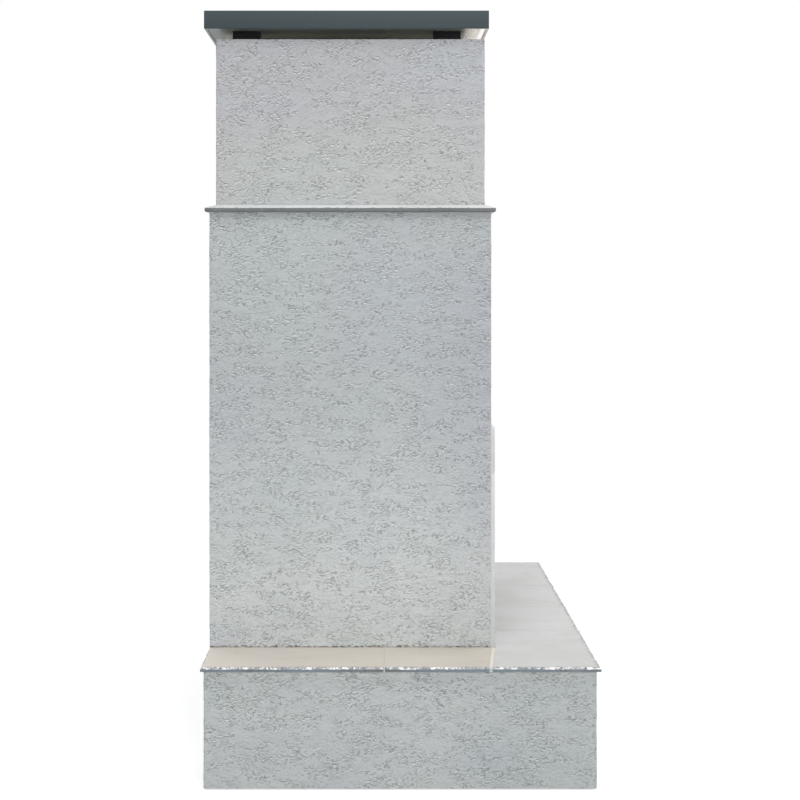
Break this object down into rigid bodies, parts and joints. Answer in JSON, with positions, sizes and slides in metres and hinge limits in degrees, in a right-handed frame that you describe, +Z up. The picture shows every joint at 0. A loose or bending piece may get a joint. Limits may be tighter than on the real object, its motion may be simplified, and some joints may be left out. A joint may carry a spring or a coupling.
{
  "type": "outdoor fireplace",
  "caption": "Free-standing stuccoed outdoor wood fireplace on a tiled raised hearth, with a stepped column, thin ledge, flat metal cap, brick-lined firebox, throat damper and mesh curtains.",
  "frame": {"origin": "middle of the overall box, on the ground", "axes": "+Z up, -Y out of the fire opening, +X to the right of someone facing the back"},
  "size_m": [1.626, 1.0134, 1.985],
  "materials": {
    "stucco": "rough skip-trowelled cement stucco, pale cool grey",
    "grey_tile": "matt stone-look tile with faint veining and chipped edges",
    "beige_tile": "matt beige stone-look tile with chipped edges",
    "facing_tile": "matt pale grey tile",
    "ledge_tile": "matt pale tile with a darker edge",
    "mortar": "cream grout",
    "cement_board": "plain grey board",
    "frame_steel": "primer",
    "cap_metal": "satin slate powder coat, weathered",
    "soffit_coat": "pale weathered coat, sooted round the flue",
    "black_steel": "matt heat-proof black",
    "galvanised": "galvanised, sooted inside",
    "fire_brick": "rough refractory brick",
    "cast_iron": "as cast",
    "curtain_mesh": "blackened woven steel"
  },
  "bodies": {
    "fireplace": {"base_board_back": "cement_board", "base_board_front": "cement_board", "base_board_left": "cement_board", "base_board_right": "cement_board", "base_deck": "cement_board", "base_frame": "frame_steel", "base_stucco": "stucco", "brick_floor": "fire_brick", "brick_wall_back": "fire_brick", "brick_wall_left": "fire_brick", "brick_wall_right": "fire_brick", "cap_post_1": "black_steel", "cap_post_2": "black_steel", "cap_post_3": "black_steel", "cap_post_4": "black_steel", "cap_soffit": "soffit_coat", "cap_tray": "cap_metal", "chimney_board_back": "cement_board", "chimney_board_front": "cement_board", "chimney_board_left": "cement_board", "chimney_board_right": "cement_board", "chimney_stucco": "stucco", "chimney_top_plate": "galvanised", "column_board_back": "cement_board", "column_board_front": "cement_board", "column_board_left": "cement_board", "column_board_right": "cement_board", "column_frame": "frame_steel", "column_stucco": "stucco", "damper_frame": "cast_iron", "facing_header_left": "facing_tile", "facing_header_right": "facing_tile", "facing_left": "facing_tile", "facing_right": "facing_tile", "firebox_shell": "black_steel", "flue_pipe": "galvanised", "hearth_mortar": "mortar", "hearth_tile_back_left": "beige_tile", "hearth_tile_back_right": "beige_tile", "hearth_tile_front_left": "grey_tile", "hearth_tile_front_middle_left": "grey_tile", "hearth_tile_front_middle_right": "grey_tile", "hearth_tile_front_right": "grey_tile", "hearth_tile_side_left": "beige_tile", "hearth_tile_side_right": "beige_tile", "ledge_back": "ledge_tile", "ledge_front": "ledge_tile", "ledge_left": "ledge_tile", "ledge_right": "ledge_tile", "log_grate": "cast_iron", "opening_trim": "black_steel", "screen_rod": "curtain_mesh", "smoke_chamber": "galvanised", "spark_arrestor": "galvanised"},
    "damper": {"damper_blade": "cast_iron", "damper_lever": "black_steel"},
    "screen_left": {"screen_pull_left": "black_steel", "screen_curtain_left": "curtain_mesh"},
    "screen_right": {"screen_pull_right": "black_steel", "screen_curtain_right": "curtain_mesh"}
  },
  "joints": [
    {"name": "damper_hinge", "type": "hinge", "parent": "fireplace", "child": "damper", "pos_m": [0, -0.14615, 0.9143], "axis": [1, 0, 0], "range_deg": [0, 60]},
    {"name": "screen_slide_left", "type": "slide", "parent": "fireplace", "child": "screen_left", "axis": [-1, 0, 0], "range_m": [0, 0.264], "deforming": ["screen_curtain_left"]},
    {"name": "screen_slide_right", "type": "slide", "parent": "fireplace", "child": "screen_right", "axis": [1, 0, 0], "range_m": [0, 0.264], "deforming": ["screen_curtain_right"]}
  ]
}
